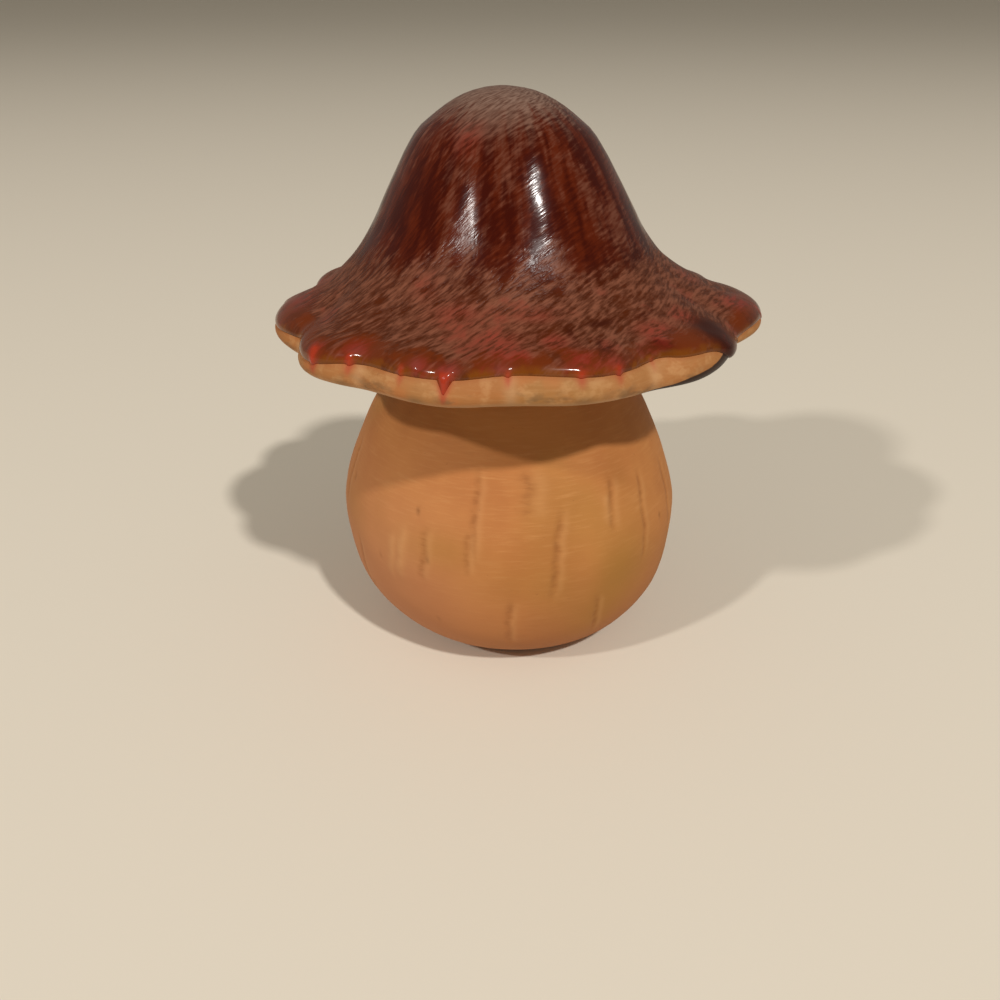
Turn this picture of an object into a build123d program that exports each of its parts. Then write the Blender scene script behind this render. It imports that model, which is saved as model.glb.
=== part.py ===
from build123d import *

import math
import os

# Ceramic mushroom ornament: a hollow bare stem that stands on its flat base, and a bell-shaped
# glazed cap that sits over the neck of the stem and lifts off. Millimetres, +Z up, with the
# origin in the middle of the base.

# Stem: the round body with its foot, shoulder and neck
belly_radius = 44.8
base_radius = 24.9
stem_height = 86.0
stem_wall = 5.0
floor_thickness = 6.0
neck_radius = 18.0
neck_wall = 4.0
neck_height = 24.0
neck_lip_radius = 1.2

# Collar: the ring inside the cap that drops over the neck and rests on the shoulder of the stem
collar_clearance = 1.2
collar_wall = 4.0
collar_lip_radius = 1.0
shoulder_margin = 0.5

# Cap: the bell and its petalled brim, with the bell a little to the left of the brim's centre
cap_radius = 60.0
cap_height = 57.7
cap_overhang = 4.0
cap_wall = 4.5
rim_lip_radius = 1.0
bell_offset = 1.6
crease_radius = 2.5

# Glaze: the thick glassy coat on the outside of the bell
glaze_thickness = 0.7

# Body of the stem from foot to shoulder: share of the belly radius, share of the stem height
stem_level_shares = [
    (0.670, 0.035),
    (0.844, 0.116),
    (0.955, 0.233),
    (1.000, 0.395),
    (0.938, 0.558),
    (0.826, 0.698),
    (0.728, 0.791),
    (0.634, 0.884),
]

# Outside of the bell from past the brim's edge to the top: share of the cap radius, share of
# the cap height
bell_level_shares = [
    (1.100, 0.086),
    (0.970, 0.111),
    (0.870, 0.156),
    (0.782, 0.217),
    (0.675, 0.295),
    (0.572, 0.416),
    (0.515, 0.520),
    (0.443, 0.659),
    (0.385, 0.763),
    (0.333, 0.842),
    (0.233, 0.922),
    (0.117, 0.983),
    (0.000, 1.000),
]
brim_levels = 2

# Petals in turn, anticlockwise seen from above, from the crease that faces the front: width
# beside an even petal, and reach of the tip and of its first crease beside the cap radius
petal_shares = [
    (1.01, 0.985, 0.968),
    (1.01, 0.995, 0.940),
    (1.19, 1.052, 0.942),
    (0.95, 1.005, 0.940),
    (0.95, 1.000, 0.938),
    (0.95, 0.995, 0.935),
    (0.95, 1.000, 0.938),
    (0.82, 1.010, 0.945),
    (1.22, 1.002, 0.925),
    (0.86, 0.995, 0.925),
    (1.10, 0.980, 0.940),
]
front_crease_angle = -91

# Places that follow from the sizes
collar_bore_radius = neck_radius + collar_clearance
collar_radius = collar_bore_radius + collar_wall
shoulder_radius = collar_radius + shoulder_margin
rim_height = stem_height - cap_overhang
overall_height = rim_height + cap_height
neck_top = stem_height + neck_height
bell_axis = Axis((-bell_offset, 0, 0), (0, 0, 1))
bell_plane = Plane((-bell_offset, 0, 0), x_dir=(1, 0, 0), z_dir=(0, -1, 0))
petal_width_sum = sum(width for width, tip, crease in petal_shares)


def moved_in(levels, distance):
    """The levels of an outline, each moved in square to the outline by the distance."""
    befores = levels[:1] + levels[:-1]
    afters = levels[1:] + levels[-1:]
    moved = []
    for before, level, after in zip(befores, levels, afters):
        run = after[0] - before[0]
        rise = after[1] - before[1]
        length = math.hypot(run, rise)
        moved.append((level[0] - distance * rise / length, level[1] + distance * run / length))
    return moved


def bell_outline(inset):
    """The levels of the bell's outside, moved in by the inset, with the last one on its axis."""
    levels = [(cap_radius * radius, rim_height + cap_height * height)
              for radius, height in bell_level_shares]
    moved = moved_in(levels, inset)
    moved[-1] = (0, overall_height - inset)
    return moved


def polar_point(radius, angle):
    """A point of the level plane, on a circle about the origin."""
    return (radius * math.cos(math.radians(angle)), radius * math.sin(math.radians(angle)))


def petal_outline():
    """Draws the edge of the brim seen from above: an arc for each petal, from crease to crease."""
    angle = front_crease_angle
    followers = petal_shares[1:] + petal_shares[:1]
    for (width, tip, crease), (next_width, next_tip, next_crease) in zip(petal_shares, followers):
        step = 360 * width / petal_width_sum
        ThreePointArc(
            polar_point(cap_radius * crease, angle),
            polar_point(cap_radius * tip, angle + step / 2),
            polar_point(cap_radius * next_crease, angle + step),
        )
        angle += step


os.makedirs("parts", exist_ok=True)

glazed_outline = bell_outline(0)
bare_outline = bell_outline(glaze_thickness)
inside_outline = bell_outline(glaze_thickness + cap_wall)[brim_levels:]
rim_inner = (inside_outline[0][0] + cap_wall, rim_height)

# Brim block: the space inside the petalled edge, from the rim plane up
with BuildPart() as brim_block:
    with BuildSketch(Plane.XY.offset(rim_height)) as brim_sketch:
        with BuildLine():
            petal_outline()
        make_face()
        fillet(brim_sketch.vertices(), radius=crease_radius)
    extrude(amount=cap_height)
    rim_edges = brim_block.edges().group_by(Axis.Z)[0]
    fillet(rim_edges, radius=rim_lip_radius)

# Inside block: the hollow of the bell as a solid
with BuildPart() as inside_block:
    with BuildSketch(bell_plane):
        with BuildLine():
            Line(rim_inner, inside_outline[0])
            Spline(*inside_outline)
            Polyline(inside_outline[-1], (0, rim_height), rim_inner)
        make_face()
    revolve(axis=bell_axis)

# Stem: turned in one piece like a bottle, hollow, with a flat closed base, a shoulder for the
# collar and an open neck
with BuildPart() as stem:
    body_levels = [(base_radius, 0)]
    body_levels += [(belly_radius * radius, stem_height * height) for radius, height in stem_level_shares]
    body_levels += [(shoulder_radius, stem_height)]
    hollow_levels = moved_in(body_levels, stem_wall)[2:-1]
    hollow_levels.reverse()
    floor_edge = (hollow_levels[-1][0] - floor_thickness, floor_thickness)
    neck_bore_radius = neck_radius - neck_wall
    neck_bore_end = (neck_bore_radius, stem_height - stem_wall)
    with BuildSketch(Plane.XZ):
        with BuildLine():
            Line((0, 0), (base_radius, 0))
            Spline(*body_levels)
            Polyline((shoulder_radius, stem_height), (neck_radius, stem_height), (neck_radius, neck_top),
                     (neck_bore_radius, neck_top), neck_bore_end, hollow_levels[0])
            Spline(*hollow_levels, floor_edge)
            Polyline(floor_edge, (0, floor_thickness), (0, 0))
        make_face()
    revolve(axis=Axis.Z)
    neck_edges = stem.edges().filter_by(GeomType.CIRCLE).group_by(Axis.Z)[-1]
    fillet(neck_edges, radius=neck_lip_radius)
stem.part.label = "stem"
export_step(stem.part, "parts/stem.step")

# Cap body: the bare clay bell under the glaze, cut to petals at its brim
with BuildPart() as cap_body:
    with BuildSketch(bell_plane):
        with BuildLine():
            Spline(*bare_outline)
            Polyline(bare_outline[-1], (0, rim_height), (bare_outline[0][0], rim_height), bare_outline[0])
        make_face()
    revolve(axis=bell_axis)
    add(inside_block.part, mode=Mode.SUBTRACT)
    add(brim_block.part, mode=Mode.INTERSECT)
cap_body.part.label = "cap_body"
export_step(cap_body.part, "parts/cap_body.step")

# Cap collar: a ring luted inside the cap, which reaches down to the shoulder of the stem
with BuildPart() as cap_collar:
    add(inside_block.part)
    with BuildSketch(Plane.XY.offset(stem_height)):
        Circle(collar_radius)
        Circle(collar_bore_radius, mode=Mode.SUBTRACT)
    extrude(amount=cap_height, mode=Mode.INTERSECT)
    collar_edges = cap_collar.edges().filter_by(GeomType.CIRCLE).group_by(Axis.Z)[0]
    fillet(collar_edges, radius=collar_lip_radius)
cap_collar.part.label = "cap_collar"
export_step(cap_collar.part, "parts/cap_collar.step")

# Cap glaze: the glassy coat over the bell, down to the bare edge of the brim
with BuildPart() as cap_glaze:
    with BuildSketch(bell_plane):
        with BuildLine():
            Spline(*glazed_outline)
            Line(glazed_outline[-1], bare_outline[-1])
            Spline(*bare_outline)
            Line(bare_outline[0], glazed_outline[0])
        make_face()
    revolve(axis=bell_axis)
    add(brim_block.part, mode=Mode.INTERSECT)
cap_glaze.part.label = "cap_glaze"
export_step(cap_glaze.part, "parts/cap_glaze.step")

for piece in (stem, cap_body, cap_collar, cap_glaze):
    print(piece.part.label, round(piece.part.volume), piece.part.is_valid, len(piece.solids()))
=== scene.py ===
"""Ceramic mushroom ornament: a bare clay stem turned hollow like a bottle, and a petalled cap in
a running oxblood glaze with a bare edge, which lifts off the neck of the stem."""

import math

import bpy
import numpy as np
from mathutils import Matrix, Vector, noise


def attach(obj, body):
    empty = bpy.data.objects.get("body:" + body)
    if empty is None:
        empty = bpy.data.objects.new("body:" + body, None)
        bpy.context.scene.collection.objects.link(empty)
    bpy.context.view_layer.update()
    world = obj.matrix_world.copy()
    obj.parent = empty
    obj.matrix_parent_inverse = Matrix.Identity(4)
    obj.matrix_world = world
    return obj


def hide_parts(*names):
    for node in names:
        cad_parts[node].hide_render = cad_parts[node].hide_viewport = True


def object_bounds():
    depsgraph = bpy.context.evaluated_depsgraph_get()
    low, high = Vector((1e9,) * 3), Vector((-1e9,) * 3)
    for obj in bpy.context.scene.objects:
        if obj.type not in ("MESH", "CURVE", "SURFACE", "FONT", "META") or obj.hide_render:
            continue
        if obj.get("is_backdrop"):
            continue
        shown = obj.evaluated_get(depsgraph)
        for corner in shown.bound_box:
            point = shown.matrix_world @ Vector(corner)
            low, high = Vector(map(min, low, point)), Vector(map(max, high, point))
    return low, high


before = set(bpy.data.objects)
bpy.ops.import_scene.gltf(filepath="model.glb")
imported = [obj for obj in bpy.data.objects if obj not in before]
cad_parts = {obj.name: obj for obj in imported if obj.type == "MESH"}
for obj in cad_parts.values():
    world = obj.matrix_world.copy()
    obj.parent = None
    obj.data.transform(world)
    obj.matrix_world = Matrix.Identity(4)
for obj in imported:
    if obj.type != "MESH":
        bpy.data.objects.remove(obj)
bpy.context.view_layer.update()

# Lengths are written in millimetres and turned to metres where a piece is made. A turn is an
# angle in degrees round the ornament, from the front, and rises to the right of somebody in front
mm = 0.001

# Camera, at the height and tilt of the photograph
camera_place = (-0.0032, -0.24838, 0.16152)
camera_tilt = math.radians(62.5)
bpy.ops.object.select_all(action="DESELECT")
bpy.ops.object.camera_add(location=camera_place, rotation=(camera_tilt, 0, 0))
camera = bpy.context.object
camera.name = "camera"
camera.data.lens = 36.108
camera.data.sensor_width = 36
camera.data.clip_start = 0.01
camera.data.clip_end = 50
bpy.context.scene.camera = camera
bpy.context.scene.view_settings.view_transform = "Standard"

# Steps between two given points of an outline
curve_steps = 24
# A round piece is drawn from a dot of this size and spun to one of these slices, which is doubled
# until it closes. Points nearer than the weld are joined
dot_size = 0.1
first_slices = 16
weld = 0.005


def softly(value, start, end):
    """Rises smoothly from 0 at the start to 1 at the end."""
    share = np.clip((value - start) / (end - start), 0, 1)
    return share * share * (3 - 2 * share)


def flowing(points, spacing):
    """Points at even distances on a smooth line through the given ones."""
    points = np.array(points, float)
    before = np.vstack([2 * points[0] - points[1], points[:-1]])
    after = np.vstack([points[1:], 2 * points[-1] - points[-2]])
    lengths = np.linalg.norm(np.diff(points, axis=0), axis=1)
    lead = np.linalg.norm(points - before, axis=1)[:, None]
    follow = np.linalg.norm(after - points, axis=1)[:, None]
    slope = (points - before) / lead * follow + (after - points) / follow * lead
    slope /= lead + follow
    dense = []
    for index, length in enumerate(lengths):
        share = np.linspace(0, 1, curve_steps, endpoint=False)[:, None]
        dense.append(
            (2 * share**3 - 3 * share**2 + 1) * points[index]
            + (share**3 - 2 * share**2 + share) * slope[index] * length
            + (3 * share**2 - 2 * share**3) * points[index + 1]
            + (share**3 - share**2) * slope[index + 1] * length
        )
    dense = np.vstack(dense + [points[-1:]])
    gone = np.concatenate([[0], np.cumsum(np.linalg.norm(np.diff(dense, axis=0), axis=1))])
    wanted = np.linspace(0, gone[-1], max(2, round(gone[-1] / spacing) + 1))
    return np.stack([np.interp(wanted, gone, dense[:, 0]), np.interp(wanted, gone, dense[:, 1])], axis=1)


def turned(name, outline, columns):
    """Draws an outline of (radius, height) point by point, spins it to a slice of the round and
    doubles the slice until it closes."""
    bpy.ops.object.select_all(action="DESELECT")
    start = outline[0]
    bpy.ops.mesh.primitive_plane_add(size=dot_size * mm, location=(start[0] * mm, 0, start[1] * mm))
    bpy.ops.object.transform_apply(location=True)
    piece = bpy.context.object
    piece.name = name
    piece.data.name = name
    bpy.ops.object.mode_set(mode="EDIT")
    bpy.ops.mesh.select_all(action="SELECT")
    bpy.ops.mesh.merge(type="CENTER")
    for here, there in zip(outline[:-1], outline[1:]):
        step = ((there[0] - here[0]) * mm, 0, (there[1] - here[1]) * mm)
        bpy.ops.mesh.extrude_region_move(TRANSFORM_OT_translate={"value": step})
    bpy.ops.mesh.select_all(action="SELECT")
    slice_angle = math.tau / first_slices
    steps = columns // first_slices
    bpy.ops.mesh.spin(steps=steps, angle=slice_angle, center=(0, 0, 0), axis=(0, 0, 1))
    while slice_angle < math.tau * 0.99:
        bpy.ops.mesh.select_all(action="SELECT")
        bpy.ops.mesh.duplicate()
        bpy.ops.transform.rotate(value=slice_angle, orient_axis="Z", center_override=(0, 0, 0))
        slice_angle *= 2
    bpy.ops.mesh.select_all(action="SELECT")
    bpy.ops.mesh.remove_doubles(threshold=weld * mm)
    bpy.ops.mesh.normals_make_consistent(inside=False)
    bpy.ops.object.mode_set(mode="OBJECT")
    bpy.ops.object.shade_smooth()
    return piece


def points_of(piece):
    """The piece's points in millimetres, one row each."""
    points = np.empty(len(piece.data.vertices) * 3)
    piece.data.vertices.foreach_get("co", points)
    return points.reshape(-1, 3) / mm


def move_points(piece, points):
    """Puts the piece's points where the rows say."""
    piece.data.vertices.foreach_set("co", (points * mm).ravel())
    piece.data.update()


def note(piece, name, values):
    """Keeps one number for each point of the piece, for its material to read."""
    kept = piece.data.attributes.new(name, "FLOAT", "POINT")
    kept.data.foreach_set("value", np.asarray(values, np.float32).ravel())


def round_places(points):
    """The turn and the radius of each point about the upright axis."""
    turns = np.degrees(np.arctan2(points[:, 0], -points[:, 1]))
    return turns, np.hypot(points[:, 0], points[:, 1])


def turns_apart(turns, turn):
    """How far each turn is from another, the short way round."""
    return (turns - turn + 180) % 360 - 180


def arc_apart(turns, turn, radius):
    """How far each turn is from another along a circle of the radius."""
    return turns_apart(turns, turn) * math.radians(1) * radius


def spot(across, along):
    """A soft spot: 1 in its middle, fading with the distance in half widths and half heights."""
    return np.exp(-(across**2) - along**2)


def match_outline(radii, heights, outline):
    """The row of the outline nearest to each point, and the square of the distance to it."""
    rows = np.empty(len(radii), int)
    misses = np.empty(len(radii))
    batch = 4000
    for start in range(0, len(radii), batch):
        part = slice(start, start + batch)
        out = radii[part, None] - outline[None, :, 0]
        up = heights[part, None] - outline[None, :, 1]
        gaps = out**2 + up**2
        rows[part] = gaps.argmin(axis=1)
        misses[part] = gaps.min(axis=1)
    return rows, misses


def waves(points, size, seed):
    """Smooth uneven values from -1 to 1, one for each point, with waves of about the given size."""
    shift = Vector((seed * 17.3, seed * 5.1, seed * 9.7))
    return np.array([noise.noise(Vector(point) / size + shift) for point in points])


# Petals of the brim in turn from the front crease: width beside an even petal, and reach of the
# tip and of the first crease beside the cap's radius
cap_radius = 60.0
bell_offset = 1.6
front_crease = -1
petals = [
    (1.01, 0.985, 0.968),
    (1.01, 0.995, 0.940),
    (1.19, 1.040, 0.942),
    (0.95, 1.005, 0.940),
    (0.95, 1.000, 0.938),
    (0.95, 0.995, 0.935),
    (0.95, 1.000, 0.938),
    (0.82, 1.010, 0.945),
    (1.22, 1.002, 0.925),
    (0.86, 0.995, 0.925),
    (1.10, 0.980, 0.940),
]
petal_widths = np.array([petal[0] for petal in petals])
crease_turns = front_crease + 360 * np.concatenate([[0], np.cumsum(petal_widths)]) / petal_widths.sum()
tip_reach = np.array([petal[1] for petal in petals])
crease_reach = np.array([petal[2] for petal in petals] + [petals[0][2]])


def sharp_reach(turns):
    """Reach of the petalled edge at each turn, with sharp creases between the petals."""
    place = (turns - front_crease) % 360 + front_crease
    petal = np.clip(np.searchsorted(crease_turns, place, side="right") - 1, 0, len(petals) - 1)
    share = (place - crease_turns[petal]) / (crease_turns[petal + 1] - crease_turns[petal])
    edge = crease_reach[petal] * (1 - share) + crease_reach[petal + 1] * share
    middle = (crease_reach[petal] + crease_reach[petal + 1]) / 2
    return edge + (tip_reach[petal] - middle) * (1 - (2 * share - 1) ** 2)


# The creases are rounded by hand: the sharp edge is averaged over these shifts of the turn
rounding_shifts = (-2.4, -1.6, -0.8, 0, 0.8, 1.6, 2.4)


def brim_reach(turns):
    """Reach of the petalled edge at each turn, with its creases rounded."""
    return sum(sharp_reach(turns + shift) for shift in rounding_shifts) / len(rounding_shifts)


def near_crease(turns, width):
    """1 on a crease between two petals and 0 well away from it."""
    nearest = np.min([np.abs(turns_apart(turns, crease)) for crease in crease_turns[:-1]], axis=0)
    return np.exp(-((nearest / width) ** 2))


# How far the brim rises or droops at each turn
brim_lifts = [
    (-180, -0.5), (-150, -0.9), (-120, -1.0), (-102, -1.3), (-88, -1.0), (-75, -0.9), (-62, -0.2),
    (-50, 0.3), (-40, 0.25), (-30, 0.5), (-22, 0.25), (-15, 0.1), (-9, 0.6), (-1, 1.8), (5, 1.5),
    (12, 1.1), (20, 0.85), (27, 0.8), (34, 1.1), (40, 0.8), (48, 1.0), (55, 1.5), (63, 1.7), (75, 1.4),
    (90, 0.8), (105, -0.2), (120, -1.2), (150, -1.1),
]
# How much thinner the turned-down edge is at each turn, by raising its lip
lip_lifts = [
    (-180, 0.4), (-150, 0), (-120, 0.5), (-104, 1.4), (-92, 1.7), (-80, 1.5), (-68, 0.9), (-58, 0.2),
    (-45, 0), (0, 0), (40, 0), (52, 0.4), (60, 1.0), (68, 1.2), (78, 1.5), (92, 1.6), (106, 0.8),
    (125, 0), (150, 0.4),
]


def along_turns(levels, turns, spread):
    """A smooth value at each turn from a table of (turn, value) that closes on itself."""
    places = [turn for turn, value in levels]
    values = [value for turn, value in levels]
    shifts = np.linspace(-spread, spread, 9)
    return sum(np.interp(turns + shift, places, values, period=360) for shift in shifts) / len(shifts)


# How far the thrown bell is off true: the oval of its dome, the lean of its top to the left, the dip
# of its creases and the unevenness of its skirt
dome_oval = 1.2
top_lean = 0.6
crease_dip = 0.45
skirt_swell = 0.35


def bell_place(radius, height, turns):
    """Bends round points of the bell to the cap's real shape: petals, lifts and droops, off true."""
    brim = softly(radius, 34, 60)
    skirt = softly(radius, 28, 56)
    around = np.radians(turns)
    reach = radius + (brim_reach(turns) - 1) * cap_radius * brim
    reach += dome_oval * np.sin(2 * around) * softly(height, 98, 112) * softly(radius, 0, 20)
    points = np.stack([
        reach * np.sin(around) - bell_offset * (1 - brim) - top_lean * softly(height, 108, 130),
        -reach * np.cos(around),
        height + along_turns(brim_lifts, turns, 4) * skirt - crease_dip * near_crease(turns, 5) * brim,
    ], axis=1)
    points[:, 2] += waves(points, 24, 1) * skirt_swell * skirt
    points[:, 2] += along_turns(lip_lifts, turns, 4) * softly(radius, 50, 57) * softly(height, 88.6, 82.2)
    return points


# Outline of the bare clay bell, from its top down the outside to the lip
bell_levels = [
    (0, 139.0), (3.5, 138.75), (7, 137.95), (10.5, 136.5), (14, 134.3), (17, 132.0), (19.4, 130.0),
    (22.5, 125.7), (26.0, 119.7), (29.2, 113.7), (32.4, 107.6), (36.9, 101.5), (41.2, 97.5),
    (47.2, 93.7), (51.2, 91.7), (54.0, 90.6), (56.0, 89.5), (57.4, 88.4), (58.5, 87.1), (59.2, 85.7),
    (59.5, 84.3), (59.2, 83.1), (58.4, 82.3), (57.2, 82.0),
]
bell_line = flowing(bell_levels, 0.25)
bell_steps = np.linalg.norm(np.diff(bell_line, axis=0), axis=1)
bell_down = np.concatenate([[0], np.cumsum(bell_steps)])
bell_run = np.gradient(bell_line, bell_down, axis=0)
bell_out = np.stack([-bell_run[:, 1], bell_run[:, 0]], axis=1)
bell_out[0] = (0, 1)
# Height at which the glaze ends on the whole
glaze_end_height = 88.1
glaze_end = np.interp(-glaze_end_height, -bell_line[:, 1], bell_down)
# Radius at which drips and marks of the lip are measured round the cap
lip_radius = 59


def on_bell(down, out):
    """Radius and height at a distance down the bell's outline and a distance out from it."""
    radius = np.interp(down, bell_down, bell_line[:, 0]) + out * np.interp(down, bell_down, bell_out[:, 0])
    height = np.interp(down, bell_down, bell_line[:, 1]) + out * np.interp(down, bell_down, bell_out[:, 1])
    return radius, height


# Lower edge of the glaze: turn, and how far it hangs past its mean line
edge_levels = [
    (-180, 0.2), (-165, -0.6), (-150, 0.5), (-135, -0.4), (-120, 0.6), (-105, 0.6), (-95, 1.8),
    (-86, 2.6), (-78, 2.4), (-71, 1.6), (-66, 1.2), (-60, 1.6), (-52, 2.8), (-47, 2.4), (-42, 1.2),
    (-38, 0.6), (-33, 0.5), (-28, 0.8), (-22, 0.5), (-17, 0.2), (-12, 0.1), (-8, -0.2), (-4, -0.5),
    (0, -0.6), (4, -0.4), (10, -0.1), (17, 0.5), (23, 0.5), (28, 0.1), (32, -0.5), (35, -1.2),
    (39, -0.1), (44, 0.2), (48, 0.5), (51, 1.6), (54, 4.0), (57, 6.4), (61, 6.8), (65, 4.6), (69, 2.8),
    (76, 2.4), (88, 2.6), (98, 1.2), (108, -0.2), (118, 0.5), (132, -0.2), (147, 0.6), (163, -0.5),
]
# Drips below it: turn, length, width at the root, and how red they are
drips = [
    (-14.8, 3.5, 3.6, 1.0), (-49.0, 0.5, 2.6, 1.0), (-39.6, 0.6, 2.2, 0.9), (-25.0, 0.3, 1.8, 0.7),
    (-1.6, 0.5, 1.8, 0.9), (13.6, 0.3, 2.6, 0.8), (22.4, 0.6, 2.4, 0.7), (32.4, 0.2, 1.6, 0.5),
    (80, 0.6, 2.2, 0.6), (97, 2.6, 2.8, 1.0), (111, 1.0, 2.0, 0.6), (127, 3.2, 3.0, 1.0),
    (141, 1.2, 2.0, 0.7), (158, 1.6, 2.2, 0.9), (173, 2.4, 2.6, 1.0), (-168, 1.0, 2.0, 0.6),
    (-152, 3.0, 3.0, 1.0), (-139, 1.1, 2.0, 0.7), (-124, 1.5, 2.2, 0.9), (-108, 1.0, 2.0, 0.6),
    (-93, 2.2, 2.6, 1.0),
]


def in_drips(turns, reach):
    """How much of a red drip is at each turn, from 0 to 1."""
    amount = np.zeros(len(turns))
    for turn, length, width, red in drips:
        across = arc_apart(turns, turn, lip_radius) / (width * 0.5 + reach)
        amount = np.maximum(amount, red * spot(across, 0))
    return amount


def glaze_edge(turns):
    """How far down the bell's outline the glaze has run at each turn."""
    edge = along_turns(edge_levels, turns, 2)
    for turn, length, width, red in drips:
        across = np.abs(arc_apart(turns, turn, lip_radius))
        edge += length * np.clip(1 - across / (width / 2), 0, 1) ** 1.1
    return glaze_end + edge


# Soft spots of the glaze: turn, distance down from the top, half width, half height, strength.
# These are the patches of rose
rose_spots = [
    (-15.7, 62.3, 5.5, 3.2, 0.6), (-29, 56, 3, 3, 0.4), (6.6, 62.3, 6, 2.2, 0.5), (80, 63.5, 4, 3, 0.5),
    (76, 75.6, 5, 3, 1.0), (10.2, 70.5, 3, 2.4, 0.9), (15.1, 77, 4, 3.2, 1.0),
    (-5.6, 69.8, 6, 3.2, 0.6), (-14.6, 79, 2.2, 2.4, 1.0), (-20.5, 79.5, 2.4, 3.2, 0.8),
    (-39, 78, 3.5, 3.2, 0.9), (-2.7, 73.7, 4.5, 3, 0.8), (-48.5, 80.5, 2.4, 2.4, 1.0),
    (51.5, 70.2, 3, 2.4, 0.8), (39, 71.9, 4, 3, 1.0), (1, 75.5, 2.5, 1.8, 0.8),
    (-25.6, 21.8, 3.5, 4, 0.6), (-84, 74, 8, 6, 0.7), (22, 79, 3, 2.5, 0.7), (-60, 72, 4, 3, 0.5),
    (118, 72, 5, 4, 0.8), (137, 63, 5, 3, 0.6), (160, 76, 4, 3, 0.9), (-172, 68, 5, 4, 0.7),
    (-148, 77, 4, 3, 0.9), (-126, 66, 5, 4, 0.6), (-106, 78, 4, 3, 0.8),
]
# Dark gaps in the veil of flecks
dark_spots = [
    (25.8, 66.3, 5, 1.5, 0.8), (21.9, 73.2, 2.6, 3.0, 0.8), (15.6, 68.5, 1.4, 3.2, 0.7),
    (54.7, 51.8, 4, 2.4, 0.8), (41.7, 66.3, 3.6, 1.5, 0.7), (53, 76.5, 4.2, 4.0, 1.0),
    (55, 84, 4.6, 7, 1.0), (36.5, 76.2, 2.4, 2.6, 0.9), (62.4, 68.6, 3.5, 2.5, 0.7),
    (80, 83, 9, 4, 0.5), (103, 70, 5, 2, 0.8), (145, 69, 4, 2, 0.8), (172, 60, 5, 2, 0.7),
    (-160, 73, 4, 2.4, 0.9), (-133, 74, 3, 3, 0.8), (-110, 64, 5, 2, 0.7), (-70, 62, 4, 2, 0.5),
]
# Where the veil is thicker, or thinner where the strength is below 0
veil_spots = [
    (-10.4, 17.2, 7, 6, 0.7), (-25.6, 21.8, 4, 4, 0.5), (-0.7, 30.8, 1.8, 7, 0.45),
    (-13.3, 44.2, 2.4, 5, 0.5), (12.6, 35, 2.4, 10, 0.4), (41.9, 34, 3.5, 9, 0.35),
    (50, 45.8, 3.5, 7, 0.4), (16.8, 47.2, 3.5, 3.5, 0.6), (-24.7, 52.5, 5, 4, 0.5),
    (-32, 29, 1.8, 7, 0.35), (55, 54.8, 5, 4, 0.6), (84, 80, 10, 5, -1), (-80, 78, 9, 6, -1),
    (66, 20, 8, 8, -0.4), (32, 47, 3, 5, -0.5), (-44, 42, 4, 13, -0.6), (31, 38, 2.4, 15, -0.5),
    (-66, 38, 6, 16, -0.3), (85, 26, 4, 8, 0.5), (100, 42, 5, 9, 0.5), (128, 30, 5, 9, 0.4),
    (150, 44, 5, 10, 0.6), (176, 26, 5, 8, 0.5), (-160, 40, 5, 10, 0.6), (-135, 27, 5, 9, 0.4),
    (-112, 44, 5, 9, 0.6), (-88, 30, 4, 8, 0.4),
]

# Mauve beads in the clear edge of the glaze
beads = [
    (-14.2, 80.3, 2.4, 2.3, 1.0), (-21.6, 79.4, 1.8, 2.2, 0.8), (-38.6, 79.4, 2.0, 2.0, 0.8),
    (-3.0, 79.6, 2.4, 1.8, 0.7), (12.0, 80.4, 2.4, 1.8, 0.6), (22.0, 80.4, 2.2, 1.8, 0.6),
    (-50, 80.6, 1.8, 1.8, 0.7), (97, 80, 2, 2, 0.9), (127, 80, 2.2, 2, 0.9), (158, 80, 2, 2, 0.7),
    (173, 80.4, 2, 2, 0.9), (-152, 80, 2.2, 2, 0.9), (-124, 80, 2, 2, 0.7), (-93, 80, 2, 2, 0.9),
]


def spotted(spots, turns, down):
    """Adds up the soft spots at each point of the bell."""
    radius = np.maximum(np.interp(down, bell_down, bell_line[:, 0]), 4)
    amount = np.zeros(len(turns))
    for turn, place, wide, high, strength in spots:
        amount += strength * spot(arc_apart(turns, turn, radius) / wide, (down - place) / high)
    return np.clip(amount, -1, 1)


def glaze_bulk(above):
    """Thickness of the glaze at a distance above its lower edge, where it gathers in a bead."""
    places = [0, 0.1, 0.3, 0.6, 1.0, 1.5, 2.2, 3.0, 4.5, 6.5, 9]
    return np.interp(above, places, [-0.2, 0.12, 0.34, 0.56, 0.76, 0.93, 1.06, 1.10, 1.0, 0.82, 0.7])


def swirl_of(down):
    """How far the strokes of the glaze have spread on their way down, 1 at a point of the bell's
    outline two thirds of the way down."""
    radius = np.maximum(bell_line[:, 0], 0.4)
    rates = bell_steps * (1 / radius[1:] + 1 / radius[:-1]) / 2
    gone = np.concatenate([[0], np.cumsum(rates)])
    true_point = len(bell_line) // 2 + 59
    gone -= gone[true_point]
    return np.exp(np.interp(down, bell_down, gone) / 2)


# Dark band along the lip: turn, and how far it reaches up from the lip
dark_lip_levels = [
    (-180, -3), (22, -3), (27, 1.0), (33, 2.0), (38, 2.9), (43, 3.7), (48, 4.4), (52, 5.2), (55, 6.6),
    (58, 8.6), (62, 10), (65, 9), (67, 3.0), (69, -2), (80, -3),
]

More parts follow.
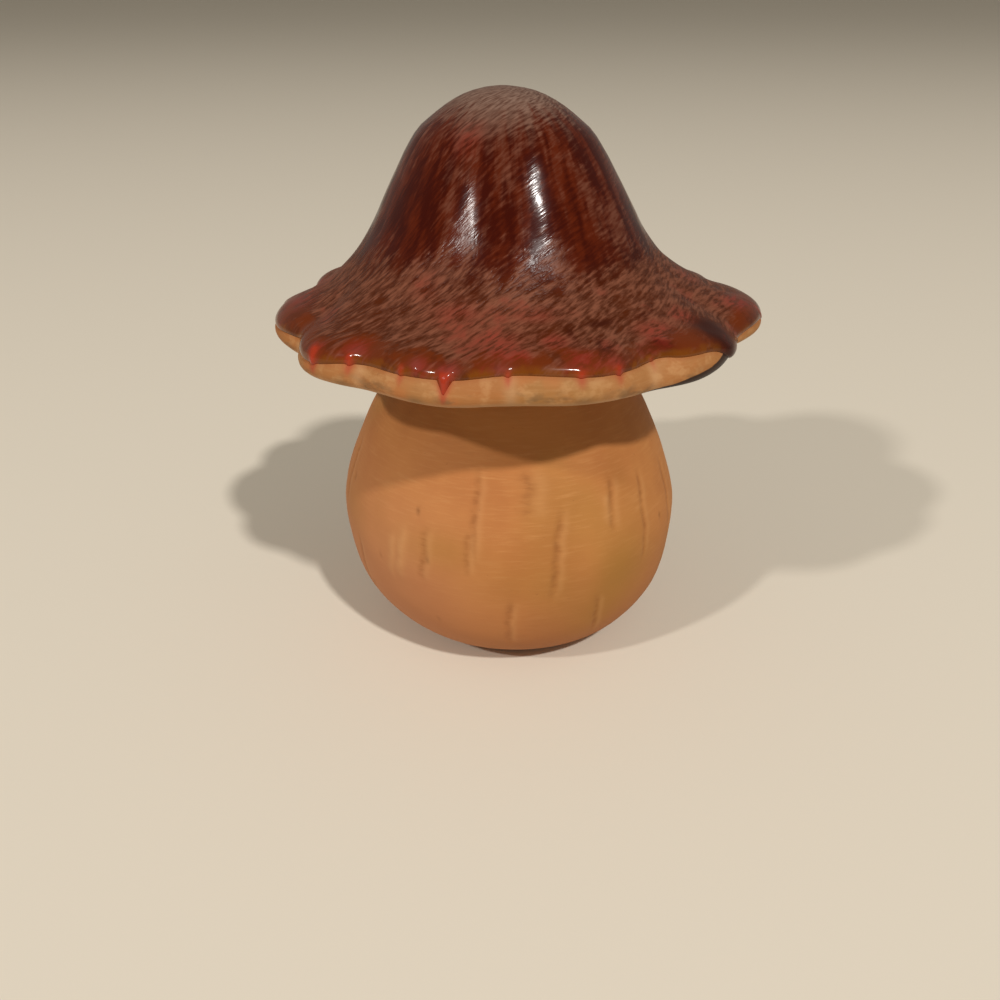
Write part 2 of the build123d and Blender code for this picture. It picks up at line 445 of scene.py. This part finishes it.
# Grey marks of the kiln shelf: turn, height up from the lip, half width, half height, strength
smudges = [
    (-41, 2.6, 2.2, 0.9, 0.9), (-35, 2.4, 1.4, 0.7, 0.6), (-21, 2.6, 2.0, 1.0, 0.9),
    (-16, 3.2, 1.4, 0.8, 0.6), (-1, 2.8, 0.7, 1.6, 0.5), (14, 2.7, 2.4, 1.0, 0.8),
    (19, 3.4, 1.6, 0.8, 0.5), (44, 4.4, 2.4, 0.8, 0.4), (88, 3, 2, 1, 0.8), (116, 2.6, 3, 1, 0.8),
    (143, 3, 2, 1, 0.9), (171, 2.6, 3, 1.2, 0.7), (-158, 3, 2, 1, 0.8), (-131, 2.6, 3, 1, 0.9),
    (-108, 3, 2, 1, 0.7), (-84, 2.6, 2, 0.9, 0.6),
]

# Cap body: the bare clay bell with its lip, underside and hollow. Its inside counts as far off from
# the glaze
wall = 4.5
hollow_edge_radius = 53.4
far_off = 30
outer_run = np.concatenate([np.arange(0, 72, 1.6), np.arange(72, bell_down[-1], 0.65)])
outer_line = np.stack(on_bell(outer_run, 0), axis=1)
inner_run = np.linspace(np.interp(hollow_edge_radius, bell_line[:, 0], bell_down), 0, 32)
inner_line = np.stack(on_bell(inner_run, -wall), axis=1)
inner_line[-1] = (0, bell_line[0, 1] - wall)
lip_levels = [bell_line[-1], (55.7, 82.05), (54.8, 82.5), (54.0, 83.2), (52.4, 84.6), inner_line[0]]
clay_outline = np.vstack([outer_line, flowing(lip_levels, 0.9), inner_line[1:]])
cap_body = turned("cap_clay", clay_outline, 720)
points = points_of(cap_body)
turns, radii = round_places(points)
row, miss = match_outline(radii, points[:, 2], outer_line)
outside = miss < 0.01
bare = outer_run[row] - glaze_edge(turns)
lip_rise = np.where(outside, bell_down[-1] - outer_run[row], np.abs(bell_levels[-1][0] - radii))
smudged = np.zeros(len(points))
for turn, rise, wide, high, strength in smudges:
    mark = spot(arc_apart(turns, turn, lip_radius) / wide, (lip_rise - rise) / high)
    smudged = np.maximum(smudged, strength * mark)
dark_lip_reach = along_turns(dark_lip_levels, turns, 1) * np.where(outside, 1, 0.3)
note(cap_body, "bare", np.where(outside, bare, far_off))
note(cap_body, "lip", lip_rise)
note(cap_body, "crease", np.where(outside, near_crease(turns, 1.4), 0))
note(cap_body, "stain", np.where(outside, in_drips(turns, -0.1) * softly(bare, 3.0, 0.4), 0))
note(cap_body, "smudge", np.where(outside, smudged, 0))
note(cap_body, "dark_lip", dark_lip_reach - lip_rise)
move_points(cap_body, bell_place(radii, points[:, 2], turns))
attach(cap_body, "cap")
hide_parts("cap_body")

# Glaze: a coat over the bell that ends in a bead, drips and one dark run. Its underside is sunk into
# the clay
glaze_thickness = 0.7
glaze_sunk = 0.3
edge_rings = glaze_end - np.array([2.0, 1.5, 1.1, 0.8, 0.55, 0.35, 0.18, 0.06])
glaze_run = np.concatenate([
    np.arange(0, 44, 2.4),
    np.arange(44, 64, 1.7),
    np.linspace(64, glaze_end - 2.6, 22),
    edge_rings,
])
inside_run = np.concatenate([[glaze_end - 0.1], np.linspace(glaze_end - 1.5, 60, 4), np.linspace(52, 0, 8)])
coat_run = np.concatenate([glaze_run, inside_run])
coat_out = np.repeat([glaze_thickness, -glaze_sunk], [len(glaze_run), len(inside_run)])
coat_outline = np.stack(on_bell(coat_run, coat_out), axis=1)
coat_outline[[0, -1], 0] = 0
cap_glaze = turned("cap_glaze_coat", coat_outline, 960)
points = points_of(cap_glaze)
turns, radii = round_places(points)
row = match_outline(radii, points[:, 2], coat_outline)[0]
edge = glaze_edge(turns)
down = coat_run[row] + (edge - glaze_end) * softly(coat_run[row], 62, glaze_end)
above = edge - down
hanging = np.clip((down - glaze_end - along_turns(edge_levels, turns, 2)) / 1.5, 0, 1)
bead = spotted(beads, turns, down)
fine_ripple = waves(points, 5.5, 2) * 0.12 * softly(above, 2, 8)
broad_ripple = waves(points, 14, 3) * 0.14 * softly(above, 0.3, 4)
out = glaze_bulk(above) * (1 - 0.55 * hanging)
out += fine_ripple + broad_ripple
out += np.clip(bead, 0, 1) * 0.45 * softly(above, 0.2, 1.5)
radius, height = on_bell(down, np.where(row < len(glaze_run), out, -glaze_sunk))
radius = np.where(radii < 0.001, 0, radius)
note(cap_glaze, "down", down)
note(cap_glaze, "above", above)
note(cap_glaze, "red", in_drips(turns, -0.1) * softly(down, glaze_end - 2.0, glaze_end - 0.3))
note(cap_glaze, "below", down - glaze_end)
note(cap_glaze, "bead", bead)
note(cap_glaze, "rose", spotted(rose_spots, turns, down))
note(cap_glaze, "dark", spotted(dark_spots, turns, down))
note(cap_glaze, "veil", spotted(veil_spots, turns, down))
note(cap_glaze, "swirl", swirl_of(down))
move_points(cap_glaze, bell_place(radius, height, turns))
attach(cap_glaze, "cap")
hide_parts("cap_glaze")

# Collar: the ring luted inside the cap that keeps it over the neck. Its top follows the bell to
# the left, so that it stays inside the wall
collar_line = [
    (19.2, 120.5), (19.2, 104), (19.2, 87.2), (19.5, 86.4), (20.2, 86.0), (22.2, 86.0), (22.9, 86.4),
    (23.2, 87.2), (23.2, 98), (23.2, 110), (23.4, 116.5), (23.2, 118.5), (21.5, 120.4), (19.2, 120.5),
]
top_shift = bell_offset + 0.3
collar = turned("cap_seat_ring", np.array(collar_line), 240)
points = points_of(collar)
points[:, :2] *= (1 + waves(points, 12, 4) * 0.006)[:, None]
points[:, 0] -= top_shift * softly(points[:, 2], 111, 117)
move_points(collar, points)
note(collar, "bare", np.full(len(points), far_off))
note(collar, "lip", np.full(len(points), far_off))
note(collar, "dark_lip", np.full(len(points), -5))
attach(collar, "cap")
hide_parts("cap_collar")

# Stem: round body, shoulder, neck and hollow
body_levels = [
    (24.9, 0.25), (26.6, 0.9), (30.0, 3.1), (34.2, 6.1), (37.8, 10.1), (40.9, 15), (42.8, 20),
    (44.2, 27), (44.8, 34), (44.0, 41), (42.0, 48), (39.7, 54), (37.0, 60), (32.6, 68), (28.4, 76),
    (25.2, 82.5), (23.9, 85.2),
]
hollow_levels = [
    (14.0, 81.0), (19.5, 78.0), (23.8, 73.5), (28.0, 65.7), (32.3, 57.7), (36.8, 47.4), (39.6, 36),
    (38.4, 23), (34.5, 14), (29.5, 8.2), (24, 6.2), (16, 6.0),
]
stem_outline = np.vstack([
    [(0, 0), (12, 0), (22, 0), (24.4, 0.02)],
    flowing(body_levels, 1.3),
    [(23.4, 85.8), (22.6, 86.0), (20, 86.0), (18.5, 86.1), (18.1, 86.6), (18.0, 88)],
    flowing([(18.0, 88), (17.9, 98), (18.0, 108.6)], 3)[1:],
    [(17.7, 109.5), (16.9, 110), (15.2, 110), (14.3, 109.5), (14.0, 108.6), (14.0, 100), (14.0, 90)],
    flowing(hollow_levels, 4.5),
    [(8, 6.0), (0, 6.0)],
])
stem = turned("stem_clay", stem_outline, 640)

# Tool marks cut down the stem: turn and height of the top, turn and height of the foot, width, depth
grooves = [
    (-11.2, 60, -12.0, 37, 0.9, 0.42), (-13.4, 46, -13.8, 34, 0.8, 0.30),
    (16.8, 51, 12.5, 26, 0.9, 0.50), (37.2, 55, 35.6, 42, 1.0, 0.42), (52.3, 54, 48.4, 30, 0.8, 0.40),
    (-0.5, 27.5, -2.0, 11, 0.8, 0.50), (29.0, 26, 30.8, 11, 0.8, 0.32), (6.1, 60, 5.7, 48, 1.8, 0.20),
    (-27.5, 45, -29.5, 30, 1.0, 0.18), (72, 52, 70, 28, 0.9, 0.40), (90, 44, 93, 20, 0.8, 0.36),
    (108, 58, 106, 38, 1.0, 0.44), (121, 36, 119, 13, 0.8, 0.38), (138, 53, 141, 28, 0.9, 0.46),
    (156, 40, 155, 22, 0.8, 0.34), (171, 58, 169, 34, 0.9, 0.44), (185, 30, 187, 11, 0.8, 0.46),
    (201, 51, 199, 31, 0.9, 0.36), (216, 57, 218, 32, 0.9, 0.46), (232, 34, 230, 13, 0.8, 0.38),
    (248, 53, 250, 34, 0.9, 0.38), (266, 48, 263, 24, 0.9, 0.42), (283, 56, 285, 38, 0.9, 0.34),
    (299, 34, 298, 14, 0.8, 0.34),
]
# Ridges left beside the tool, given the same way
ridges = [
    (-36.0, 44, -37.8, 28, 1.6, 0.22), (-40.2, 41, -42.2, 27, 1.3, 0.16),
    (34.6, 52, 33.4, 44, 1.2, 0.12), (84, 40, 86, 24, 1.6, 0.2), (147, 44, 146, 28, 1.4, 0.18),
    (209, 46, 208, 30, 1.5, 0.2), (274, 40, 272, 26, 1.5, 0.2),
]
# Pits: turn, height, width
pits = [
    (-31.7, 47.7, 0.6), (-26.9, 36.8, 0.6), (61.2, 38.8, 0.6), (-58.5, 19.4, 0.7), (-26, 18, 0.5),
    (-47, 33, 0.5), (100, 30, 0.8), (131, 41, 0.7), (163, 22, 0.8), (194, 39, 0.7), (225, 26, 0.8),
    (259, 34, 0.7), (290, 47, 0.6),
]

# How far the stem stands off its axis to the right: height, distance
lean_levels = [(0, 1.5), (8, 0.6), (20, -0.2), (45, -1.0), (70, -0.7), (90, 0)]
# Depth of a pit in its middle, and of the fine lines of the wheel
pit_depth = 0.35
wheel_line_depth = 0.02

# Ochre stains: turn, height, half width, half height, strength
ochre_spots = [
    (37, 30, 9, 12, 0.9), (27, 18, 8, 8, 0.5), (-22, 40, 9, 5, 0.6), (5, 33, 12, 8, 0.4),
    (112, 34, 12, 10, 0.6), (150, 24, 9, 12, 0.5), (192, 38, 12, 8, 0.6), (238, 28, 10, 12, 0.6),
    (292, 40, 10, 7, 0.4),
]


def strokes_down(marks, turns, heights, radii, seed):
    """Depth of the marks at each point, and amounts 0 to 1 of a mark and of its painted highlight."""
    depth = np.zeros(len(turns))
    amount = np.zeros(len(turns))
    beside = np.zeros(len(turns))
    wander = waves(np.stack([turns / 9, heights / 1.2, turns * 0], axis=1), 2.2, seed)
    ragged = waves(np.stack([turns / 2.5, heights / 1.1, turns * 0], axis=1), 1.0, seed + 1)
    for top_turn, top, low_turn, low, width, deep in marks:
        share = (top - heights) / (top - low)
        middle = top_turn + (low_turn - top_turn) * share
        across = arc_apart(turns, middle, radii) + wander * 0.7
        along = softly(share, -0.04, 0.2) * softly(share, 1.04, 0.75)
        here = spot(across / width, 0) * along * (0.75 + 0.5 * ragged)
        depth += deep * here
        amount = np.maximum(amount, here)
        beside = np.maximum(beside, spot((across - 1.7 * width) / width, 0) * along)
    return depth, np.clip(amount, 0, 1), np.clip(beside, 0, 1)


points = points_of(stem)
turns, radii = round_places(points)
heights = points[:, 2]
line_radius = np.interp(heights, [level[1] for level in body_levels], [level[0] for level in body_levels])
outside = (radii > line_radius - 1.2) & (heights > 0.1) & (heights < 85)
groove_depth, groove_mark, groove_highlight = strokes_down(grooves, turns, heights, radii, 11)
ridge_rise, ridge_mark = strokes_down(ridges, turns, heights, radii, 21)[:2]
pitted = np.zeros(len(turns))
pit_mark = np.zeros(len(turns))
for turn, height, width in pits:
    apart = np.hypot(arc_apart(turns, turn, radii), heights - height) / width
    pitted += pit_depth * spot(apart, 0)
    pit_mark = np.maximum(pit_mark, spot(apart, 0))
lathe = waves(np.stack([turns / 12, turns * 0, heights], axis=1), 0.9, 31) * wheel_line_depth
swell = waves(points, 24, 32) * 0.35 + waves(points, 9, 33) * 0.10
unevenness = ridge_rise - groove_depth - pitted + lathe + swell * softly(heights, 0, 8)
moved = radii + np.where(outside, unevenness, 0)
around = np.radians(turns)
lean = np.interp(heights, *zip(*lean_levels))
ochre = np.zeros(len(turns))
for turn, height, wide, high, strength in ochre_spots:
    ochre += strength * spot(arc_apart(turns, turn, radii) / wide, (heights - height) / high)
# Masks of the marks: painted shade in the grooves and pits, and a painted highlight on the ridges and beside
# the grooves
note(stem, "groove", np.where(outside, groove_mark, 0))
note(stem, "ridge", np.where(outside, np.maximum(ridge_mark, groove_highlight * 0.5), 0))
note(stem, "pit", np.where(outside, pit_mark, 0))
note(stem, "height", heights)
note(stem, "ochre", np.clip(ochre, 0, 1))
move_points(stem, np.stack([moved * np.sin(around) + lean, -moved * np.cos(around), heights], axis=1))
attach(stem, "stem")
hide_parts("stem")


def shade(red, green, blue):
    """A screen colour from 0 to 255 as the linear colour that a shader takes."""
    parts = [value / 255 for value in (red, green, blue)]
    return tuple(p / 12.92 if p <= 0.04045 else ((p + 0.055) / 1.055) ** 2.4 for p in parts) + (1,)


class Field:
    """A value that changes over a surface, for plain arithmetic in a finish."""

    def __init__(self, finish, socket):
        self.finish = finish
        self.socket = socket

    def __add__(self, other):
        return self.finish.maths("ADD", self, other)

    def __radd__(self, other):
        return self.finish.maths("ADD", other, self)

    def __sub__(self, other):
        return self.finish.maths("SUBTRACT", self, other)

    def __rsub__(self, other):
        return self.finish.maths("SUBTRACT", other, self)

    def __mul__(self, other):
        return self.finish.maths("MULTIPLY", self, other)

    def __rmul__(self, other):
        return self.finish.maths("MULTIPLY", other, self)

    def __truediv__(self, other):
        return self.finish.maths("DIVIDE", self, other)


class Finish:
    """The nodes of one material, or of the world."""

    def __init__(self, owner):
        owner.use_nodes = True
        self.owner = owner
        self.tree = owner.node_tree
        self.tree.nodes.clear()

    def node(self, kind, settings, sockets, output=0):
        """Adds a node: settings first, then its sockets' values or links. Gives one output."""
        made = self.tree.nodes.new(kind)
        for name, value in settings.items():
            setattr(made, name, value)
        for name, value in sockets.items():
            if isinstance(value, Field):
                self.tree.links.new(value.socket, made.inputs[name])
            else:
                made.inputs[name].default_value = value
        return Field(self, made.outputs[output]) if len(made.outputs) else None

    def maths(self, operation, first, second=0.0):
        """One step of arithmetic."""
        return self.node("ShaderNodeMath", {"operation": operation}, {0: first, 1: second})

    def rise(self, value, start, end):
        """From 0 at the start to 1 at the end, smoothly, and level past them."""
        settings = {"interpolation_type": "SMOOTHSTEP"}
        return self.node("ShaderNodeMapRange", settings, {"Value": value, "From Min": start, "From Max": end})

    def held(self, value):
        """The value, held between 0 and 1."""
        return self.node("ShaderNodeMath", {"operation": "ADD", "use_clamp": True}, {0: value, 1: 0.0})

    def mix(self, share, first, second):
        """A colour between two."""
        return self.node("ShaderNodeMix", {"data_type": "RGBA"}, {0: share, 6: first, 7: second}, 2)

    def blend(self, share, first, second):
        """A number between two."""
        return self.node("ShaderNodeMix", {"data_type": "FLOAT"}, {0: share, 2: first, 3: second}, 0)

    def place(self):
        """The place on the piece, in metres."""
        return self.node("ShaderNodeTexCoord", {}, {}, "Object")

    def kept(self, name):
        """A number that the piece's points keep."""
        return self.node("ShaderNodeAttribute", {"attribute_name": name}, {}, "Fac")

    def part(self, vector, axis):
        """One part of a vector, by its axis."""
        return self.node("ShaderNodeSeparateXYZ", {}, {"Vector": vector}, axis)

    def vector(self, x, y, z):
        """A vector of three values."""
        return self.node("ShaderNodeCombineXYZ", {}, {"X": x, "Y": y, "Z": z})

    def cloud(self, vector, scale, detail, roughness):
        """Soft noise about 0.5."""
        sockets = {"Vector": vector, "Scale": scale, "Detail": detail, "Roughness": roughness}
        return self.node("ShaderNodeTexNoise", {}, sockets, "Fac")

    def stretched(self, vector, x, y, z):
        """The vector, scaled by its own factor on each axis."""
        return self.node("ShaderNodeVectorMath", {"operation": "MULTIPLY"}, {0: vector, 1: (x, y, z)})

    def relief(self, height, distance, strength):
        """The slope that a fine relief gives the surface."""
        return self.node("ShaderNodeBump", {}, {"Height": height, "Distance": distance, "Strength": strength})

    def close(self, sockets):
        """Ends the material with its surface."""
        surface = self.node("ShaderNodeBsdfPrincipled", {}, sockets)
        self.node("ShaderNodeOutputMaterial", {}, {"Surface": surface})
        return self.owner


def glaze_finish():
    """Oxblood glaze, veiled with mauve flecks on its skirt and top, amber where it runs thin. The pale grey
    of the top is partly its flecks and partly a painted sheen.
    """
    f = Finish(bpy.data.materials.new("oxblood_glaze"))
    place = f.place()
    down = f.kept("down")
    above = f.kept("above")
    bead = f.held(f.kept("bead"))
    dark = f.held(f.kept("dark"))
    around = f.maths("ARCTAN2", f.part(place, "X") + bell_offset * mm, 0 - f.part(place, "Y"))
    # The bell laid out flat, in units of a little under a millimetre, and turned so that the
    # strokes lie aslant. Its two ends meet at the back
    lay = math.radians(49)
    lay_scale = 103
    half = around * 0.5 + lay
    swirl = f.kept("swirl") * lay_scale
    along = f.maths("COSINE", half) * swirl
    across = f.maths("SINE", half) * swirl
    meet = f.maths("MAXIMUM", f.rise(around, -3.1, -2.4), f.rise(around, 0.0, 0.1))

    def strokes(length, width, detail, roughness):
        """Noise drawn out along the lay of the strokes, faded into itself at the back."""
        here = f.vector(along / length, across / width, 0.0)
        there = f.vector(along / -length, across / -width, 0.0)
        return f.blend(meet, f.cloud(there, 1.0, detail, roughness), f.cloud(here, 1.0, detail, roughness))

    hair = strokes(4.6, 1.0, 2, 0.55)
    tuft = strokes(5.6, 2.4, 3, 0.6)
    mottle = f.cloud(place, 260, 3, 0.6)
    blotch = f.cloud(place, 90, 2, 0.5)
    flow_x = f.maths("COSINE", around)
    flow_y = f.maths("SINE", around)
    streak = f.cloud(f.vector(flow_x * 8, flow_y * 8, down / 16), 1.0, 2, 0.5)
    thin_streak = f.cloud(f.vector(flow_x * 20, flow_y * 20, down / 9), 1.0, 2, 0.5)
    ragged = (streak - 0.5) * 18 + (mottle - 0.5) * 10
    top = f.rise(down + ragged, 27, 8)
    skirt = f.rise(down + ragged, 42, 60) * f.rise(above + (blotch - 0.5) * 12, 2.8, 8.8)
    streaks = f.rise(streak + thin_streak * 0.5, 0.62, 0.95) * f.rise(down, 8, 20) * 0.55
    amount = f.maths("MAXIMUM", f.maths("MAXIMUM", top * 0.95, skirt * 0.85), streaks)
    amount = amount + f.kept("veil") * 0.8 - dark * 0.9
    texture = (hair - 0.5) * 1.4 + (tuft - 0.5) * 1.3 + (mottle - 0.5) * 0.8 + (blotch - 0.5) * 1.8 * skirt
    veil = f.rise(amount * 1.2 + texture - f.rise(tuft, 0.44, 0.30) * f.rise(down, 44, 58) * 0.35, 0.10, 1.15)
    furry = f.maths("MAXIMUM", f.rise(down, 40, 57), f.rise(down, 26, 10))
    body = f.mix(f.rise(streak + (hair - 0.5) * 0.5, 0.34, 0.68), shade(56, 10, 2), shade(84, 27, 6))
    clear = f.mix(f.rise(above + (mottle - 0.5) * 3, 0.3, 2.2), shade(112, 58, 4), shade(98, 38, 4))
    clear = f.mix(f.rise(streak + (mottle - 0.5) * 0.7, 0.50, 0.64) * 0.6, clear, shade(74, 28, 4))
    body = f.mix(f.rise(down, 48, 62) * 0.7, body, shade(80, 33, 4))
    thin = f.rise(above + (blotch - 0.5) * 14 + (hair - 0.5) * 4, 8.5, 5.5)
    body = f.mix(thin, body, clear)
    body = f.mix(dark * 0.9, body, shade(46, 7, 1))
    patch = f.rise(blotch + (mottle - 0.5) * 0.5, 0.58, 0.72) * f.rise(down, 44, 62) * 0.4
    rose = f.held((patch + f.kept("rose")) * (0.2 + f.rise(tuft + (hair - 0.5) * 0.7, 0.34, 0.60)))
    body = f.mix(rose * 0.8, body, shade(126, 38, 24))
    lit = f.rise(hair + (tuft - 0.5) * 0.9 + (blotch - 0.5) * 0.4, 0.26, 0.78)
    fine_flecks = f.mix(lit, shade(78, 38, 24), shade(112, 70, 54))
    furry_flecks = f.mix(lit, shade(70, 32, 15), shade(122, 73, 53))
    flecks = f.mix(furry, fine_flecks, furry_flecks)
    flecks = f.mix(rose * 0.7, flecks, shade(136, 58, 44))
    # The pale grey-mauve of the top is partly the glaze's paler flecks and partly a painted sheen of light on
    # the dome
    pale = f.mix(f.rise(hair, 0.3, 0.7), shade(92, 64, 52), shade(130, 104, 90))
    flecks = f.mix(f.rise(down, 26, 9), flecks, pale)
    colour = f.mix(veil * (1 - 0.25 * rose) * (0.62 + furry * 0.3), body, flecks)
    colour = f.mix(f.held(f.kept("red") * (0.45 + tuft)) * 0.82, colour, shade(168, 52, 28))
    colour = f.mix(bead * f.rise(f.kept("below"), -0.6, -1.6) * 0.85, colour, shade(126, 54, 46))
    calm = f.rise(above, 1.0, 5.5)
    height = (hair * (0.10 + veil * (0.08 + furry * 0.3)) + tuft * (0.05 + veil * furry * 0.8)) * calm
    return f.close({
        "Base Color": colour,
        "Roughness": 0.13 + (veil * (0.07 + furry * 0.12) + furry * 0.16) * calm + (1 - calm) * 0.05,
        "Coat Weight": (1 - calm) * (1 - dark) * 0.30,
        "Coat Roughness": 0.12,
        "Normal": f.relief(height, 0.26 * mm, 0.8),
        "Specular IOR Level": 0.11,
    })


def clay_finish(name, base, warm, pale, green):
    """Biscuit clay: fine grain laid round by the wheel, stains, specks and small pits."""
    f = Finish(bpy.data.materials.new(name))
    place = f.place()
    grain = f.cloud(f.stretched(place, 150, 150, 1700), 1.0, 3, 0.65)
    broad = f.cloud(f.stretched(place, 90, 90, 620), 1.0, 3, 0.6)
    stain = f.cloud(place, 38, 3, 0.55)
    tinge = f.cloud(f.stretched(place, 30, 30, 18), 1.0, 2, 0.5)
    speck = f.cloud(place, 900, 1, 0.5)
    colour = f.mix(f.rise(stain, 0.35, 0.68), base, warm)
    colour = f.mix(f.rise(tinge, 0.52, 0.72) * 0.45, colour, green)
    colour = f.mix(f.rise(grain, 0.45, 0.75) * 0.22, colour, pale)
    worn = f.rise(f.cloud(place, 70, 2, 0.5), 0.40, 0.66)
    colour = f.mix(f.rise(broad, 0.52, 0.8) * worn * 0.35, colour, pale)
    colour = f.mix(f.rise(speck, 0.76, 0.84) * 0.3, colour, shade(128, 78, 42))
    return f, colour, grain, broad, speck


def stem_finish():
    """Clay of the stem, darker low down and pinker on the left, with painted shade in its tool marks and
    pits, painted highlights on its ridges, and ochre stains.
    """
    f, colour, grain, broad, speck = clay_finish(
        "stem_biscuit_clay", base=shade(184, 122, 66), warm=shade(172, 109, 58),
        pale=shade(202, 146, 90), green=shade(158, 114, 50))
    place = f.place()
    groove = f.kept("groove")
    ridge = f.kept("ridge")
    pit = f.kept("pit")
    low = f.rise(f.kept("height"), 44, 10)
    colour = f.mix(low * 0.6, colour, shade(162, 102, 60))
    blush = f.rise(f.part(place, "X"), 0.004, -0.034) * f.rise(f.kept("height"), 70, 30)
    colour = f.mix(blush * 0.5, colour, shade(186, 126, 90))
    colour = f.mix(f.held(f.kept("ochre")) * 0.6, colour, shade(156, 112, 44))
    # Painted shade darkens the tool marks, broken up by a streaky noise
    scratches = f.cloud(f.stretched(place, 260, 260, 900), 1.0, 2, 0.6)
    groove_shade_breakup = 0.55 + 0.6 * f.rise(scratches, 0.40, 0.60)
    colour = f.mix(f.held(groove * groove_shade_breakup) * 0.5, colour, shade(132, 78, 36))
    # Painted highlight on the ridges and on a strip beside each tool mark
    colour = f.mix(ridge * 0.35, colour, shade(208, 156, 102))
    # Painted shade in the pits
    colour = f.mix(f.held(pit * 1.2) * 0.5, colour, shade(112, 70, 34))
    height = grain * 0.5 + broad * 0.4 - f.rise(speck, 0.68, 0.8) * 0.5
    return f.close({
        "Base Color": colour,
        "Roughness": 0.66 + grain * 0.12,
        "Normal": f.relief(height, 0.10 * mm, 0.6),
        "Specular IOR Level": 0.25,
    })


def cap_clay_finish():
    """Clay of the cap, with the kiln's marks, the stain of the drips, a dark band on its lip and a painted
    highlight along the lip's edge.
    """
    f, colour, grain, broad, speck = clay_finish(
        "cap_biscuit_clay", base=shade(162, 110, 62), warm=shade(158, 98, 50),
        pale=shade(184, 140, 94), green=shade(146, 108, 56))
    bare = f.kept("bare")
    lip = f.kept("lip")
    crease = f.kept("crease")
    place = f.place()
    smudge = f.cloud(f.stretched(place, 110, 110, 260), 1.0, 3, 0.6)
    wiped = f.cloud(f.stretched(place, 230, 230, 330), 1.0, 3, 0.6)
    tan = f.cloud(place, 150, 2, 0.5)
    colour = f.mix(f.rise(wiped, 0.48, 0.66) * 0.4, colour, shade(190, 144, 96))
    colour = f.mix(f.rise(tan, 0.54, 0.72) * 0.45, colour, shade(176, 104, 54))
    # Painted highlight along the rounded lower edge of the lip
    colour = f.mix(f.rise(lip, 3.0, 1.6) * 0.5, colour, shade(192, 154, 116))
    smoke = f.rise(smudge, 0.53, 0.68) * f.rise(lip, 6.0, 3.4)
    colour = f.mix(f.held(smoke + f.kept("smudge") * (0.5 + wiped)) * 0.62, colour, shade(112, 84, 54))
    colour = f.mix(crease * 0.35, colour, shade(192, 150, 108))
    colour = f.mix(f.rise(bare, 1.2, 0.1) * 0.4, colour, shade(150, 84, 44))
    colour = f.mix(f.held(f.kept("stain") * 1.2) * 0.65, colour, shade(162, 58, 36))
    # A near-black band along the lip, under the right petals
    dark_lip = f.rise(f.kept("dark_lip") + (smudge - 0.5) * 1.2, -0.15, 0.15)
    colour = f.mix(dark_lip * 0.98, colour, shade(34, 9, 2))
    height = grain * 0.4 + broad * 0.4 - f.rise(speck, 0.68, 0.8) * 0.5
    return f.close({
        "Base Color": colour,
        "Roughness": (0.62 + grain * 0.12) * (1 - dark_lip * 0.4),
        "Normal": f.relief(height * (1 - dark_lip), 0.10 * mm, 0.6),
        "Specular IOR Level": 0.25,
    })


def dress(piece, material):
    """Gives the piece its one material."""
    piece.data.materials.clear()
    piece.data.materials.append(material)


dress(cap_glaze, glaze_finish())
dress(stem, stem_finish())
cap_clay = cap_clay_finish()
dress(cap_body, cap_clay)
dress(collar, cap_clay)

# Stage: a large plain pale floor and two soft lamps, in metres
floor_size = 24
lamp_distance = 3
lamp_aim = Vector((0, 0, 0.07))
bpy.ops.object.select_all(action="DESELECT")
bpy.ops.mesh.primitive_plane_add(size=floor_size, location=(0, 0, 0))
floor = bpy.context.object
floor.name = "floor"
floor_finish = Finish(bpy.data.materials.new("pale_floor"))
dress(floor, floor_finish.close({
    "Base Color": shade(223, 214, 198),
    "Roughness": 0.7,
    "Specular IOR Level": 0.2,
}))
floor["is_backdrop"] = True


def lamp(name, towards, width, power):
    """A round soft lamp in a direction from the ornament, which it faces."""
    way = Vector(towards).normalized()
    bpy.ops.object.light_add(type="AREA", location=way * lamp_distance + lamp_aim)
    made = bpy.context.object
    made.name = name
    made.rotation_euler = way.to_track_quat("Z", "Y").to_euler()
    made.data.shape = "DISK"
    made.data.size = width
    made.data.energy = power
    made.data.color = (1.0, 0.97, 0.93)


lamp("key_lamp", (0.316, -0.633, 0.730), 0.16, 58.0)
lamp("side_lamp", (-0.602, -0.536, 0.605), 0.16, 33.0)

# World: plain pale light, a little brighter where it is seen or mirrored than where it only lights
lighting_strength = 0.27
seen_strength = 0.30
world = bpy.data.worlds.new("pale_room")
bpy.context.scene.world = world
room = Finish(world)
seen = 0.0
for ray in ("Is Camera Ray", "Is Glossy Ray", "Is Transmission Ray"):
    seen = room.maths("MAXIMUM", seen, room.node("ShaderNodeLightPath", {}, {}, ray))
strength = room.node(
    "ShaderNodeMapRange", {}, {"Value": seen, "To Min": lighting_strength, "To Max": seen_strength})
sky = room.node("ShaderNodeBackground", {}, {"Color": (1.0, 0.93, 0.81, 1), "Strength": strength})
room.node("ShaderNodeOutputWorld", {}, {"Surface": sky})

low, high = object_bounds()
